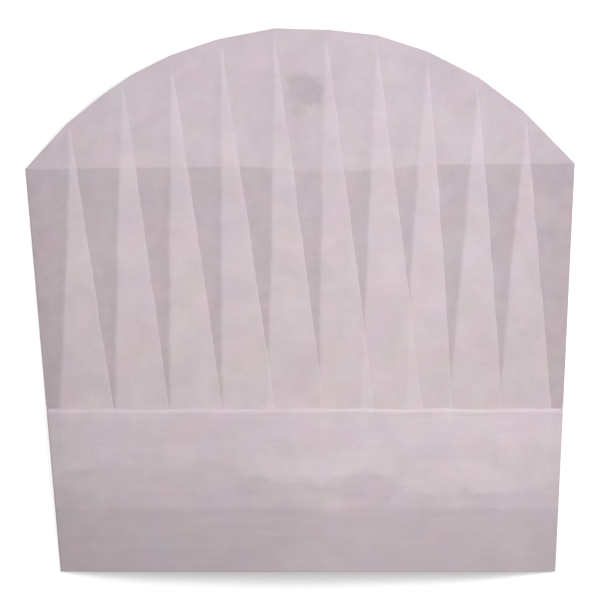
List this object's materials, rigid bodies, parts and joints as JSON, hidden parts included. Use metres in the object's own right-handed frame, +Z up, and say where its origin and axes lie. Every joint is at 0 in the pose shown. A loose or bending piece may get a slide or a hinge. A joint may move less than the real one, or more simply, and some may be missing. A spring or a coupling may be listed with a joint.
{
  "type": "disposable chef hat",
  "caption": "Disposable chef hat folded flat: round-topped pleated crown of thin nonwoven cloth set into a straight headband with a turned-in upper edge, open below for the head.",
  "frame": {"origin": "on the surface that the hat lies on, under the middle of its outline's box", "axes": "+Y from the head opening to the top of the crown, +X to the wearer's left, +Z up out of the hat's front; the hat lies flat on its back"},
  "size_m": [0.328, 0.324, 0.0215],
  "materials": {
    "crown_cloth": "matte nonwoven, pale mauve",
    "band_cloth": "matte nonwoven, pale mauve"
  },
  "bodies": {
    "root": {"crown": "crown_cloth", "headband": "band_cloth"}
  },
  "joints": []
}
